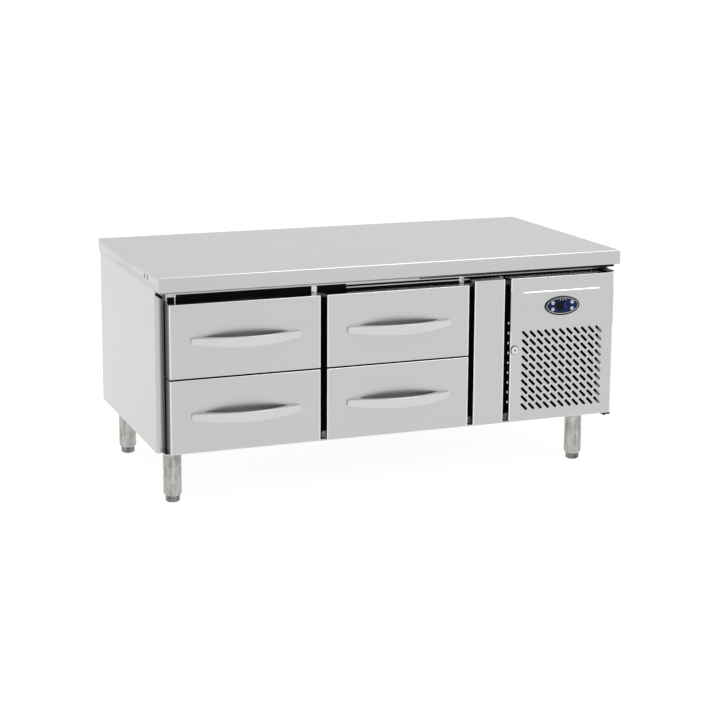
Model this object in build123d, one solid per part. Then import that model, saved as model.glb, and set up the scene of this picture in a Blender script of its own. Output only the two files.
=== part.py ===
from build123d import *
import os

# Overall sizes: the worktop, the cabinet under it and the legs
top_width = 1360
top_depth = 700
top_height = 40
body_height = 445
leg_length = 150

# Cabinet faces, set back from the worktop's edges
left_inset = 2
right_inset = 7
rear_inset = 13
front_setback = 6
front_thickness = 42
seal_thickness = 7

# Front layout, from left to right
left_margin = 28
column_gap = 19
post_gap = 17
post_width = 93
door_gap = 19
door_width = 328
right_margin = 14

# Front layout, from top to bottom
drawer_top_gap = 35
door_top_gap = 24.5
front_bottom_gap = 5.5
split_gap = 4.5

# Sheet gauges
top_sheet = 1.5
skin = 1.2
frame_sheet = 1.5
base_sheet = 1.5
liner_sheet = 1

# Clearances and the overrun of every cut
overrun = 5
seal_clearance = 0.3
slide_play = 0.5
hole_play = 0.5
shaft_play = 0.05
button_play = 0.2

# Worktop
top_bend = 2
top_return = 70
rear_cut_depth = 24
rear_cut_height = 9
rivet_radius = 3.2
rivet_ring = 0.3
rivet_drop = 17.5
rivet_setback = 116
rivet_pitch = 32

# Black strip under the worktop's front edge
strip_left_inset = 8
strip_right_inset = 15
strip_setback = 8
strip_depth = 12
strip_height = 5

# Cabinet shell
stile_flange = 30
ledge_left = 18
ledge_right = 10
ledge_setback = 24
ledge_height = 4
opening_inset = 25
side_foam = 43
rear_foam = 45
partition_offset = 5
machine_side_lap = 6
machine_right_lap = 25
machine_end_lap = 20
stiffener_depth = 18
air_slot_length = 60
air_slot_width = 6
air_slot_pitch = 16
air_slot_rows = 9
air_slot_base = 200
air_slot_side_share = 0.7

# Black strips over the drawer openings, and the clips at their ends
breaker_drop = 20
breaker_height = 30
breaker_inset = 32
breaker_end_inset = 10
clip_width = 14
clip_height = 17
clip_sheet = 2
clip_screw_radius = 2.2
clip_screw_head = 1

# Drawer fronts, seals and handles
front_bend = 1.5
front_return = 40
seal_inset = 12
seal_width = 12
cover_inset = 27
cover_sheet = 1.5
handle_length = 306
handle_reach = 44
handle_tip = 7
handle_block = 35
handle_band = 5.5
handle_end_height = 17
handle_top_bulge = 3.5
handle_bottom_bulge = 8
handle_corner = 6
handle_edge = 1.2

# Drawer carriers for standard pans, on slides of three members
carrier_rear_gap = 55.3
carrier_height = 60
carrier_sheet = 1.5
carrier_rim = 14
carrier_drop = 35
pilaster_sheet = 3
pilaster_width = 30
pilaster_setback = 110
pilaster_end = 70
slide_width = 13
slide_height = 45
slide_sheet = 1.5
slide_rear_gap = 47.3
middle_shortening = 30
slide_setback = 6

# Machine compartment door
door_depth = 38
door_flange = 14
door_bend = 1.5
hinge_inset = 11.5
hinge_setback = 14
hinge_radius = 4
hinge_pin_length = 16
hinge_plate = 3
hinge_plate_width = 24
hinge_top_gap = 2
hinge_cone_radius = 5.5
hinge_cone_height = 6
panel_left = 37
panel_right = 46
panel_drop = 40.5
panel_height = 88
panel_proud = 1.6
panel_slope = 3
slot_pitch = 23.4
slot_length = 27.5
slot_width = 8
slot_left = 47.3
slot_right = 45
slot_base = 41.5
slot_top_gap = 30
slot_angle = -45

# Lock in the door
lock_inset = 15
lock_height = 208.5
lock_head_radius = 11.5
lock_head = 2
lock_barrel_radius = 8
lock_shaft_radius = 4
lock_reach = 3
cam_length = 24
cam_width = 12
cam_sheet = 2
cam_gap = 0.6
keyway_length = 7
keyway_width = 1.6
keyway_depth = 1.2

# Controller on the door
control_inset = 160.5
control_drop = 86.1
bezel_half_width = 54.5
bezel_half_height = 27.6
bezel_rim = 3.5
bezel_proud = 4
bezel_bend = 1.2
face_play = 0.2
face_proud = 3
control_depth = 16
control_body_share = 0.7
button_radius = 4.8
button_inset = 24
button_z = 9.2
button_proud = 1.4
button_depth = 1.6
button_travel_room = 1.1
display_gap = 4.2
display_inset = 9.9
display_rim = 1.2
display_proud = 0.8

# Legs and feet
leg_radius = 25
leg_wall = 1.5
leg_cap = 3
leg_taper = 6
leg_clear = 18
leg_plug_height = 34
leg_plug = 10
foot_gap = 4
foot_bevel = 2.5
foot_body = 40
stem_radius = 6
stem_length = 60
left_leg_inset = 57
right_leg_inset = 83
front_leg_setback = 103
rear_leg_inset = 86

# Cold side: coil, duct panel and fan
duct_sheet = 1.5
duct_setback = 20
coil_play = 4
evap_fan_room = 13
evap_rear_gap = 79.8
evap_bottom_gap = 50
evap_top_gap = 54.5
evap_plate = 2
evap_fins = 25
evap_tube_radius = 5
evap_tube_rows = 5
fin_sheet = 0.8
evap_fan_setback = 185
evap_fan_radius = 58
evap_fan_opening = 62
evap_motor_radius = 22

# Fans
fan_length = 18
fan_hub_radius = 20
fan_sheet = 1.5
fan_blades = 5
fan_pitch = 32
fan_gap = 6
shaft_radius = 3
shaft_engagement = 20

# Machine compartment
cond_setback = 14
cond_side_gap = 53.3
cond_depth = 60
cond_lift = 12
cond_height = 240
cond_plate = 2
cond_fins = 23
cond_tube_radius = 5
cond_tube_rows = 6
shroud_margin = 22
fan_tip_gap = 6
shroud_length = 28
motor_radius = 34
motor_length = 55
spider_bar = 12
spider_sheet = 3
comp_tray_gap = 40
comp_radius = 80
comp_height = 180
comp_top_bend = 45
comp_bottom_bend = 30
comp_wall = 9
comp_foot_width = 200
comp_foot_sheet = 3
comp_sleeve_radius = 8
comp_sleeve_height = 12
comp_sleeve_inset = 14
stub_radius = 8
stub_height = 14
discharge_offset = 30
suction_offset = -36
tray_width = 240
tray_depth = 90
tray_height = 35
tray_rear_gap = 27
tray_sheet = 1.2
ebox_width = 80
ebox_depth = 200
ebox_height = 110
ebox_setback = 140
ebox_drop = 40
ebox_bend = 4

# Pipes
discharge_radius = 4
discharge_rise = 50
discharge_side = 25
discharge_entry = 200
suction_radius = 6
suction_height = 270
liquid_radius = 3
liquid_low = 50
liquid_side = 18
liquid_gap = 12
liquid_height = 150
liquid_offset = 30
pipe_bend = 12

# Mains gland and rear screws
gland_inset = 120
gland_height = 95
gland_radius = 11
gland_bore = 4.5
gland_proud = 12
gland_inner = 14
gland_nut_radius = 14
gland_nut = 4
screw_radius = 4
screw_head = 1.5
screw_inset = 20
screw_columns = 5
screw_rows = 3

# Places that follow from the sizes above
top_left = -top_width / 2
top_right = top_width / 2
handle_overhang = handle_reach - front_setback
top_rear = (top_depth + handle_overhang) / 2
top_front = top_rear - top_depth
base_z = leg_length
lip_z = base_z + body_height
top_z = lip_z + top_height
body_left = top_left + left_inset
body_right = top_right - right_inset
body_rear = top_rear - rear_inset
front_plane = top_front + front_setback
front_back = front_plane + front_thickness
frame_face = front_back + seal_thickness
frame_back = frame_face + frame_sheet
floor_z = base_z + base_sheet
frame_bottom = base_z + ledge_height
frame_left = body_left + stile_flange
frame_right = body_right - stile_flange

fixed_widths = left_margin + column_gap + post_gap + post_width
fixed_widths += door_gap + door_width + right_margin
drawer_width = (top_width - fixed_widths) / 2
drawer_height = (body_height - drawer_top_gap - front_bottom_gap - split_gap) / 2
left_column = top_left + left_margin
right_column = left_column + drawer_width + column_gap
post_left = right_column + drawer_width + post_gap
post_right = post_left + post_width
door_left = post_right + door_gap
door_right = door_left + door_width
lower_row = base_z + front_bottom_gap
upper_row = lower_row + drawer_height + split_gap
door_top = lip_z - door_top_gap

partition_left = post_right + partition_offset
partition_right = partition_left + skin
liner_left = left_column + opening_inset
liner_right = partition_left - side_foam - liner_sheet
liner_rear = body_rear - skin - rear_foam - liner_sheet
liner_bottom = lower_row + opening_inset
liner_top = upper_row + drawer_height - opening_inset
opening_width = drawer_width - 2 * opening_inset
opening_height = drawer_height - 2 * opening_inset

machine_left = door_left + machine_side_lap
machine_right = door_right - machine_right_lap
machine_bottom = lower_row + machine_end_lap
machine_top = door_top - machine_end_lap
bay_middle = (partition_right + body_right - skin) / 2

carrier_width = opening_width - 2 * (pilaster_sheet + slide_width)
carrier_left = opening_inset + pilaster_sheet + slide_width
carrier_front = front_thickness + cover_sheet
carrier_length = liner_rear - carrier_rear_gap - front_plane - carrier_front
carrier_bottom = drawer_height - carrier_drop - carrier_height
carrier_middle = carrier_bottom + carrier_height / 2
middle_height = slide_height - 2 * (slide_sheet + slide_play)
inner_height = middle_height - 2 * (slide_sheet + slide_play)
slide_front = frame_back + slide_setback
slide_length = liner_rear - slide_rear_gap - slide_front
middle_length = slide_length - middle_shortening

hinge_x = door_right - hinge_inset
hinge_y = front_plane + hinge_setback
lock_x = door_left + lock_inset
lock_z = lower_row + lock_height
control_x = door_left + control_inset
control_z = door_top - control_drop
panel_bottom = door_top - panel_drop - panel_height
slot_columns = int((door_width - slot_left - slot_right) / slot_pitch) + 1
slot_rows = int((panel_bottom - slot_top_gap - lower_row - slot_base) / slot_pitch) + 1
panel_face = front_plane - panel_proud
bezel_front = panel_face - bezel_proud
face_front = panel_face - face_proud
face_half_width = bezel_half_width - bezel_rim - face_play
face_half_height = bezel_half_height - bezel_rim - face_play
button_x = bezel_half_width - button_inset
display_half_width = button_x - button_radius - display_gap
display_half_height = face_half_height - display_inset
foot_radius = leg_radius - leg_wall - foot_gap

duct_left = right_column + drawer_width - opening_inset
duct_right = duct_left + duct_sheet
evap_fan_y = top_front + evap_fan_setback
evap_front = evap_fan_y + evap_fan_opening + evap_fan_room
evap_rear = liner_rear - evap_rear_gap
evap_bottom = liner_bottom + evap_bottom_gap
evap_top = liner_top - evap_top_gap
evap_fan_z = (liner_bottom + liner_top) / 2
evap_fan_x = duct_right + fan_gap + fan_length / 2
evap_motor_left = evap_fan_x + fan_length / 2 + fan_gap

cond_left = partition_right + cond_side_gap
cond_right = body_right - skin - cond_side_gap
cond_width = cond_right - cond_left
cond_front = frame_back + cond_setback
cond_rear = cond_front + cond_depth
cond_middle = (cond_front + cond_rear) / 2
cond_bottom = floor_z + cond_lift
cond_top = cond_bottom + cond_height
cond_z = (cond_bottom + cond_top) / 2
shroud_end = cond_rear + shroud_length
shroud_radius = min(cond_width, cond_height) / 2 - shroud_margin
cond_fan_radius = shroud_radius - fan_tip_gap
cond_fan_y = cond_rear + skin + fan_length / 2 + fan_gap / 2
cond_motor_front = cond_fan_y + fan_length / 2 + fan_gap
tray_front = body_rear - tray_rear_gap - tray_depth
comp_y = tray_front - comp_tray_gap - comp_foot_width / 2
comp_foot_z = floor_z + comp_sleeve_height
comp_top = comp_foot_z + comp_foot_sheet + comp_height
stub_top = comp_top + stub_height
discharge_x = bay_middle + discharge_offset
suction_x = bay_middle + suction_offset
suction_z = floor_z + suction_height
liquid_y = comp_y + comp_radius + liquid_gap
liquid_z = floor_z + liquid_height
gland_x = body_right - gland_inset
gland_z = base_z + gland_height

leg_places = [
    (top_left + left_leg_inset, top_front + front_leg_setback),
    (top_right - right_leg_inset, top_front + front_leg_setback),
    (top_left + left_leg_inset, top_rear - rear_leg_inset),
    (top_right - right_leg_inset, top_rear - rear_leg_inset),
]


# Simple solids between two ends
def block(x0, x1, y0, y1, z0, z1):
    return Pos((x0 + x1) / 2, (y0 + y1) / 2, (z0 + z1) / 2) * Box(x1 - x0, y1 - y0, z1 - z0)


def rod_x(y, z, x0, x1, radius):
    return Pos((x0 + x1) / 2, y, z) * Rot(0, 90, 0) * Cylinder(radius, x1 - x0)


def rod_y(x, z, y0, y1, radius):
    return Pos(x, (y0 + y1) / 2, z) * Rot(90, 0, 0) * Cylinder(radius, y1 - y0)


def rod_z(x, y, z0, z1, radius):
    return Pos(x, y, (z0 + z1) / 2) * Cylinder(radius, z1 - z0)


def mirror_across(shape, x):
    return mirror(shape, about=Plane.YZ.offset(x))


# A channel that lies along Y, with its web at x = 0 and its mouth towards +X
def channel(length, height, depth, sheet):
    outer = block(0, depth, 0, length, -height / 2, height / 2)
    mouth = block(sheet, depth + overrun, -overrun, length + overrun, sheet - height / 2, height / 2 - sheet)
    return outer - mouth


# Worktop: a folded sheet with a downturned lip and a return under it
def worktop_prism(inset):
    with BuildSketch(Plane.YZ) as side:
        with BuildLine():
            Polyline(
                (top_front + inset, lip_z + inset),
                (top_front + inset, top_z - inset),
                (top_rear - inset, top_z - inset),
                (top_rear - inset, lip_z + rear_cut_height + inset),
                (top_rear - rear_cut_depth - inset, lip_z + inset),
                close=True,
            )
        make_face()
    return Pos(top_left + inset, 0, 0) * extrude(side.sketch, top_width - 2 * inset)


def worktop_window(low, high):
    return block(
        top_left + top_return, top_right - top_return,
        top_front + top_return, top_rear - top_return, low, high,
    )


def rivets(radius, depth):
    ends = []
    for count in range(2):
        y = top_front + rivet_setback + count * rivet_pitch
        ends.append(rod_x(y, top_z - rivet_drop, top_left, top_left + depth, radius))
    return ends


def worktop():
    outer = worktop_prism(0)
    outer = fillet(outer.faces().sort_by(Axis.Z)[-1].edges(), top_bend)
    shell = outer - worktop_prism(top_sheet) - worktop_window(lip_z - overrun, lip_z + overrun)
    return shell - rivets(rivet_radius + rivet_ring, top_sheet)


def drip_strip():
    return block(
        top_left + strip_left_inset, top_right - strip_right_inset,
        top_front + strip_setback, top_front + strip_setback + strip_depth,
        lip_z - strip_height, lip_z,
    )


# Cabinet shell
def left_side_panel():
    side = block(body_left, body_left + skin, frame_face, body_rear, base_z, lip_z)
    flange = block(body_left, frame_left, frame_face, frame_face + skin, base_z, lip_z)
    return side + flange


def right_side_panel():
    side = block(body_right - skin, body_right, frame_face, body_rear, base_z, lip_z)
    flange = block(frame_right, body_right, frame_face, frame_face + skin, base_z, lip_z)
    return side + flange


def rear_panel():
    panel = block(body_left + skin, body_right - skin, body_rear - skin, body_rear, base_z, lip_z)
    slots = []
    for row in range(air_slot_rows):
        for side in (-1, 1):
            slot = extrude(SlotOverall(air_slot_length, air_slot_width), 2 * overrun, both=True)
            x = bay_middle + side * air_slot_length * air_slot_side_share
            z = base_z + air_slot_base + row * air_slot_pitch
            slots.append(Pos(x, body_rear, z) * Rot(90, 0, 0) * slot)
    gland_hole = gland_radius + hole_play
    slots.append(rod_y(gland_x, gland_z, body_rear - overrun, body_rear + overrun, gland_hole))
    return panel - slots


def base_panel():
    plate = block(body_left + skin, body_right - skin, frame_back, body_rear - skin, base_z, floor_z)
    under_frame = block(frame_left, frame_right, frame_face, frame_back, base_z, frame_bottom)
    ledge = block(
        top_left + ledge_left, body_right - ledge_right,
        top_front + ledge_setback, frame_face, base_z, frame_bottom,
    )
    return plate + under_frame + ledge


def pipe_holes(radius_play):
    suction = rod_x(comp_y, suction_z, liner_right, partition_right, suction_radius + radius_play)
    liquid = rod_x(liquid_y, liquid_z, liner_right, partition_right, liquid_radius + radius_play)
    return [suction, liquid]


def inner_liner():
    outer = block(
        liner_left - liner_sheet, liner_right + liner_sheet, frame_back, liner_rear + liner_sheet,
        liner_bottom - liner_sheet, liner_top + liner_sheet,
    )
    inner = block(
        liner_left, liner_right, frame_back - overrun, liner_rear, liner_bottom, liner_top,
    )
    return outer - inner - pipe_holes(hole_play)


def cabinet_insulation():
    walls = block(body_left + skin, partition_left, frame_back, body_rear - skin, floor_z, lip_z)
    space = block(
        liner_left - liner_sheet, liner_right + liner_sheet, frame_back - overrun, liner_rear + liner_sheet,
        liner_bottom - liner_sheet, liner_top + liner_sheet,
    )
    filling = worktop_prism(top_sheet) + worktop_window(lip_z, lip_z + top_sheet)
    return Compound([walls - space - pipe_holes(hole_play), filling])


def machine_partition():
    sheet = block(partition_left, partition_right, frame_back, body_rear - skin, floor_z, lip_z)
    return sheet - pipe_holes(hole_play)


def breaker_span(column):
    left = column + breaker_inset
    right = column + drawer_width - breaker_end_inset
    return left, right


def front_frame():
    plate = block(frame_left, frame_right, frame_face, frame_back, frame_bottom, lip_z)
    cuts = []
    for column in (left_column, right_column):
        for row in (lower_row, upper_row):
            cuts.append(
                block(
                    column + opening_inset, column + opening_inset + opening_width,
                    frame_face - overrun, frame_back + overrun,
                    row + opening_inset, row + opening_inset + opening_height,
                )
            )
        left, right = breaker_span(column)
        cuts.append(
            block(
                left, right, frame_face - overrun, frame_back + overrun,
                lip_z - breaker_drop - breaker_height, lip_z - breaker_drop,
            )
        )
    cuts.append(
        block(
            machine_left, machine_right, frame_face - overrun, frame_back + overrun,
            machine_bottom, machine_top,
        )
    )
    frame = plate - cuts
    mullion_left = left_column + opening_inset + opening_width
    mullion_right = right_column + opening_inset
    rail_bottom = lower_row + opening_inset + opening_height
    rail_top = upper_row + opening_inset
    stiff_back = frame_back + stiffener_depth
    for side in (mullion_left, mullion_right - frame_sheet):
        frame += block(side, side + frame_sheet, frame_back, stiff_back, liner_bottom, liner_top)
    for low in (rail_bottom, rail_top - frame_sheet):
        frame += block(liner_left, duct_left, frame_back, stiff_back, low, low + frame_sheet)
    return frame


def breaker_strips():
    strips = []
    for column in (left_column, right_column):
        left, right = breaker_span(column)
        strips.append(
            block(
                left, right, frame_face, frame_back,
                lip_z - breaker_drop - breaker_height, lip_z - breaker_drop,
            )
        )
    return Compound(strips)


def filler_post():
    post = block(post_left, post_right, front_plane, frame_face, lower_row, door_top)
    post = fillet(post.edges().filter_by(Axis.Z).sort_by(Axis.Y)[:2], front_bend)
    inside = block(
        post_left + skin, post_right - skin, front_plane + skin, frame_face + overrun,
        lower_row + skin, door_top - skin,
    )
    return post - inside


# Slide supports: pilasters, the divider posts and the fixed slide members
def slide_supports():
    pieces = []
    first = frame_back + pilaster_setback
    last = liner_rear - pilaster_end - pilaster_width
    divider_left = left_column + opening_inset + opening_width - pilaster_sheet
    divider_right = right_column + opening_inset + pilaster_sheet
    for y in (first, last):
        for left, right in (
            (liner_left, liner_left + pilaster_sheet),
            (duct_left - pilaster_sheet, duct_left),
        ):
            pieces.append(block(left, right, y, y + pilaster_width, liner_bottom, liner_top))
        post = block(divider_left, divider_right, y, y + pilaster_width, liner_bottom, liner_top)
        hollow = block(
            divider_left + slide_sheet, divider_right - slide_sheet,
            y + slide_sheet, y + pilaster_width - slide_sheet,
            liner_bottom, liner_top,
        )
        pieces.append(post - hollow)
    member = channel(slide_length, slide_height, slide_width - 2 * slide_sheet - slide_play, slide_sheet)
    for column in (left_column, right_column):
        for row in (lower_row, upper_row):
            left = Pos(column + opening_inset + pilaster_sheet, slide_front, row + carrier_middle) * member
            pieces.append(left)
            pieces.append(mirror_across(left, column + drawer_width / 2))
    return Compound(pieces)


# Everything that slides with a drawer, from the front's lower left corner
def drawer_front():
    outer = Box(drawer_width, front_thickness, drawer_height, align=Align.MIN)
    outer = fillet(outer.faces().sort_by(Axis.Y)[0].edges(), front_bend)
    cavity = block(
        skin, drawer_width - skin, skin, front_thickness - skin, skin, drawer_height - skin,
    )
    window = block(
        front_return, drawer_width - front_return, front_thickness - skin - overrun,
        front_thickness + overrun, front_return, drawer_height - front_return,
    )
    return outer - cavity - window


def drawer_gasket():
    back = front_thickness + seal_thickness - seal_clearance
    far = seal_inset + seal_width
    ring = block(
        seal_inset, drawer_width - seal_inset, front_thickness, back, seal_inset, drawer_height - seal_inset,
    )
    middle = block(
        far, drawer_width - far, front_thickness - overrun, back + overrun, far, drawer_height - far,
    )
    return ring - middle


def arc_radius(half_chord, rise):
    return (half_chord * half_chord + rise * rise) / (2 * rise)


def drawer_handle():
    half = handle_length / 2
    high = handle_end_height / 2
    inner_reach = handle_reach - handle_band
    with BuildSketch(Plane.XZ) as elevation:
        with BuildLine():
            ThreePointArc((-half, high), (0, high + handle_top_bulge), (half, high))
            Line((half, high), (half, -high))
            ThreePointArc((half, -high), (0, -high - handle_bottom_bulge), (-half, -high))
            Line((-half, -high), (-half, high))
        make_face()
        fillet(elevation.vertices(), handle_corner)
    outline = extrude(elevation.sketch, handle_reach + overrun)
    outer_radius = arc_radius(half, handle_reach - handle_tip)
    inner_radius = arc_radius(half - handle_block, inner_reach)
    outer = Pos(0, outer_radius - handle_reach, 0) * Cylinder(outer_radius, handle_length)
    inner = Pos(0, inner_radius - inner_reach, 0) * Cylinder(inner_radius, handle_length)
    bow = (outline & outer) - inner
    front = bow.faces().filter_by(GeomType.CYLINDER).sort_by(SortBy.AREA)[-1]
    bow = fillet(front.edges(), handle_edge)
    return Pos(drawer_width / 2, 0, drawer_height / 2) * bow


def drawer_carrier():
    cover = block(
        cover_inset, drawer_width - cover_inset, front_thickness, carrier_front,
        cover_inset, drawer_height - cover_inset,
    )
    right = carrier_left + carrier_width
    rear = carrier_front + carrier_length
    top = carrier_bottom + carrier_height
    walls = block(carrier_left, right, carrier_front, rear, carrier_bottom, top)
    inside = block(
        carrier_left + carrier_sheet, right - carrier_sheet, carrier_front, rear - carrier_sheet,
        carrier_bottom - overrun, top - carrier_sheet,
    )
    mouth = block(
        carrier_left + carrier_rim, right - carrier_rim, carrier_front + carrier_rim,
        rear - carrier_rim, top - overrun, top + overrun,
    )
    member = channel(slide_length, inner_height, slide_width - 2 * slide_sheet - 2 * slide_play, slide_sheet)
    member = Pos(right, carrier_front, carrier_middle) * member
    members = member + mirror_across(member, drawer_width / 2)
    return cover + (walls - inside - mouth) + members


def slide_middle():
    depth = slide_width - slide_sheet - slide_play - slide_sheet - slide_play
    member = channel(middle_length, middle_height, depth, slide_sheet)
    x = opening_inset + pilaster_sheet + slide_sheet + slide_play
    member = Pos(x, slide_front - front_plane, carrier_middle) * member
    return Compound([member, mirror_across(member, drawer_width / 2)])


# Door: a tray with a stamped panel, a slotted grille and hinge holes
def door_panel():
    outer = block(door_left, door_right, front_plane, front_plane + door_depth, lower_row, door_top)
    outer = fillet(outer.faces().sort_by(Axis.Y)[0].edges(), door_bend)
    inside = block(
        door_left + skin, door_right - skin, front_plane + skin, front_plane + door_depth - skin,
        lower_row + skin, door_top - skin,
    )
    mouth = block(
        door_left + door_flange, door_right - door_flange, front_plane + door_depth - overrun,
        front_plane + door_depth + overrun, lower_row + door_flange, door_top - door_flange,
    )
    door = outer - inside - mouth + stamped_panel()
    slot = extrude(SlotOverall(slot_length, slot_width), skin + overrun, both=True)
    slots = []
    for column in range(slot_columns):
        for row in range(slot_rows):
            x = door_left + slot_left + column * slot_pitch
            z = lower_row + slot_base + row * slot_pitch
            slots.append(Pos(x, front_plane, z) * Rot(90, 0, 0) * Rot(0, 0, slot_angle) * slot)
    door = door - slots
    barrel_hole = lock_barrel_radius + shaft_play
    shaft_hole = lock_shaft_radius + hole_play
    door -= rod_y(lock_x, lock_z, front_plane - overrun, front_plane + overrun, barrel_hole)
    door -= rod_y(lock_x, lock_z, front_plane, front_plane + door_depth + overrun, shaft_hole)
    door -= rod_z(hinge_x, hinge_y, lower_row - overrun, door_top + overrun, hinge_radius + shaft_play)
    door -= controller_body(panel_face - overrun, front_plane + overrun, hole_play)
    return door


def stamped_panel():
    width = door_width - panel_left - panel_right
    x = door_left + panel_left + width / 2
    z = panel_bottom + panel_height / 2
    foot = Pos(x, front_plane, z) * Rot(90, 0, 0) * Rectangle(width, panel_height)
    crown = Pos(x, panel_face, z) * Rot(90, 0, 0)
    crown = crown * Rectangle(width - 2 * panel_slope, panel_height - 2 * panel_slope)
    return loft([foot, crown])


# Lock: head, barrel and the cam behind the frame's edge
def door_lock():
    head = rod_y(lock_x, lock_z, front_plane - lock_head, front_plane, lock_head_radius)
    head = fillet(head.faces().sort_by(Axis.Y)[0].edges(), lock_head / 2)
    cam_y = frame_back + cam_gap
    barrel = rod_y(lock_x, lock_z, front_plane, front_plane + door_depth - lock_reach, lock_barrel_radius)
    shaft = rod_y(lock_x, lock_z, front_plane + door_depth - lock_reach, cam_y, lock_shaft_radius)
    half = cam_width / 2
    cam = block(lock_x - half, lock_x + half, cam_y, cam_y + cam_sheet, lock_z - cam_length, lock_z + half)
    key = block(
        lock_x - keyway_width / 2, lock_x + keyway_width / 2,
        front_plane - lock_head - overrun, front_plane - lock_head + keyway_depth,
        lock_z - keyway_length / 2, lock_z + keyway_length / 2,
    )
    return head + barrel + shaft + cam - key


# Controller: bezel, face with the display, and four buttons
def ellipse_block(half_width, half_height, y0, y1):
    solid = extrude(Ellipse(half_width, half_height), y1 - y0)
    return Pos(control_x, y1, control_z) * Rot(90, 0, 0) * solid


def controller_body(y0, y1, play):
    half_width = bezel_half_width * control_body_share + play
    half_height = bezel_half_height * control_body_share + play
    return ellipse_block(half_width, half_height, y0, y1)


def controller_bezel():
    ring = ellipse_block(bezel_half_width, bezel_half_height, bezel_front, panel_face)
    ring = fillet(ring.faces().sort_by(Axis.Y)[0].edges(), bezel_bend)
    inner = ellipse_block(
        bezel_half_width - bezel_rim, bezel_half_height - bezel_rim,
        bezel_front - overrun, panel_face + overrun,
    )
    return ring - inner


def button_places():
    return [(control_x + i * button_x, control_z + k * button_z) for i in (-1, 1) for k in (-1, 1)]


def controller_face():
    face = ellipse_block(face_half_width, face_half_height, face_front, panel_face)
    face += controller_body(panel_face, panel_face + control_depth, 0)
    rim = ellipse_block(display_half_width, display_half_height, face_front - display_proud, face_front)
    well = ellipse_block(
        display_half_width - display_rim, display_half_height - display_rim,
        face_front - display_proud - overrun, face_front - display_proud / 2,
    )
    face = face + rim - well
    for x, z in button_places():
        depth = button_depth + button_travel_room
        face -= rod_y(x, z, face_front - overrun, face_front + depth, button_radius + button_play)
    return face


def controller_button(x, z):
    cap = rod_y(x, z, face_front - button_proud, face_front + button_depth, button_radius)
    return fillet(cap.faces().sort_by(Axis.Y)[0].edges(), button_proud / 2)


# Hinge: a pin on a plate at each end of the door
def door_hinges():
    half = hinge_plate_width / 2
    pieces = []
    ledge_front = top_front + ledge_setback
    plate = block(hinge_x - half, hinge_x + half, hinge_y - half, ledge_front, base_z, frame_bottom)
    pin = rod_z(hinge_x, hinge_y, frame_bottom, frame_bottom + hinge_pin_length, hinge_radius)
    cone = Pos(hinge_x, hinge_y, base_z - hinge_cone_height / 2) * Rot(180, 0, 0) * Cone(
        hinge_cone_radius, hinge_radius / 2, hinge_cone_height
    )
    pieces.append(plate + pin + cone)
    top_low = door_top + hinge_top_gap
    plate = block(hinge_x - half, hinge_x + half, hinge_y - half, frame_face, top_low, top_low + hinge_plate)
    foot = block(
        hinge_x - half, hinge_x + half, frame_face - hinge_plate, frame_face,
        top_low, top_low + hinge_plate_width / 2,
    )
    pin = rod_z(hinge_x, hinge_y, top_low - hinge_pin_length, top_low, hinge_radius)
    pieces.append(plate + foot + pin)
    return Compound(pieces)


# Legs and adjustable feet
def leg_tube(x, y):
    tube = rod_z(x, y, leg_clear, base_z, leg_radius)
    tube = chamfer(tube.edges().sort_by(Axis.Z)[0], leg_taper, leg_taper / 2)
    bore = rod_z(x, y, leg_clear + leg_taper, base_z - leg_cap, leg_radius - leg_wall)
    mouth = rod_z(x, y, leg_clear - overrun, leg_clear + leg_taper, foot_radius + hole_play)
    plug_low = leg_clear + leg_plug_height
    plug = rod_z(x, y, plug_low, plug_low + leg_plug, leg_radius - leg_wall)
    thread = rod_z(x, y, plug_low, plug_low + leg_plug, stem_radius + shaft_play)
    return tube - bore - mouth + (plug - thread)


def leveling_foot(x, y):
    body = rod_z(x, y, 0, foot_body, foot_radius)
    body = chamfer(body.edges().group_by(Axis.Z)[0], foot_bevel)
    return body + rod_z(x, y, foot_body, foot_body + stem_length, stem_radius)


# Fans, on an axis along Z from the origin
def fan_wheel(radius):
    reach = radius - fan_hub_radius / 2
    blade = Rot(fan_pitch, 0, 0) * Box(reach, 2 * fan_length, fan_sheet)
    blade = Pos(fan_hub_radius / 2 + reach / 2, 0, 0) * blade
    wheel = Cylinder(fan_hub_radius, fan_length)
    for count in range(fan_blades):
        wheel += Rot(0, 0, count * 360 / fan_blades) * blade
    wheel = wheel & Cylinder(radius, fan_length)
    shaft_top = fan_length / 2 + fan_gap + shaft_engagement
    return wheel + rod_z(0, 0, 0, shaft_top, shaft_radius)


def condenser_fan_blades():
    return Pos(bay_middle, cond_fan_y, cond_z) * Rot(-90, 0, 0) * fan_wheel(cond_fan_radius)


def evaporator_fan_blades():
    return Pos(evap_fan_x, evap_fan_y, evap_fan_z) * Rot(0, 90, 0) * fan_wheel(evap_fan_radius)


def fan_motors():
    bore = shaft_radius + shaft_play
    spider = block(
        bay_middle - shroud_radius, bay_middle + shroud_radius, shroud_end, shroud_end + spider_sheet,
        cond_z - spider_bar / 2, cond_z + spider_bar / 2,
    )
    spider += block(
        bay_middle - spider_bar / 2, bay_middle + spider_bar / 2, shroud_end, shroud_end + spider_sheet,
        cond_z - shroud_radius, cond_z + shroud_radius,
    )
    cond_motor = rod_y(bay_middle, cond_z, cond_motor_front, cond_motor_front + motor_length, motor_radius)
    cond_bore = rod_y(
        bay_middle, cond_z, min(shroud_end, cond_motor_front) - overrun,
        cond_motor_front + shaft_engagement + fan_gap, bore,
    )
    evap_motor = rod_x(evap_fan_y, evap_fan_z, evap_motor_left, liner_right, evap_motor_radius)
    evap_bore = rod_x(
        evap_fan_y, evap_fan_z, evap_motor_left - overrun,
        evap_motor_left + shaft_engagement + fan_gap, bore,
    )
    return Compound([cond_motor + spider - cond_bore, evap_motor - evap_bore])


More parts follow.
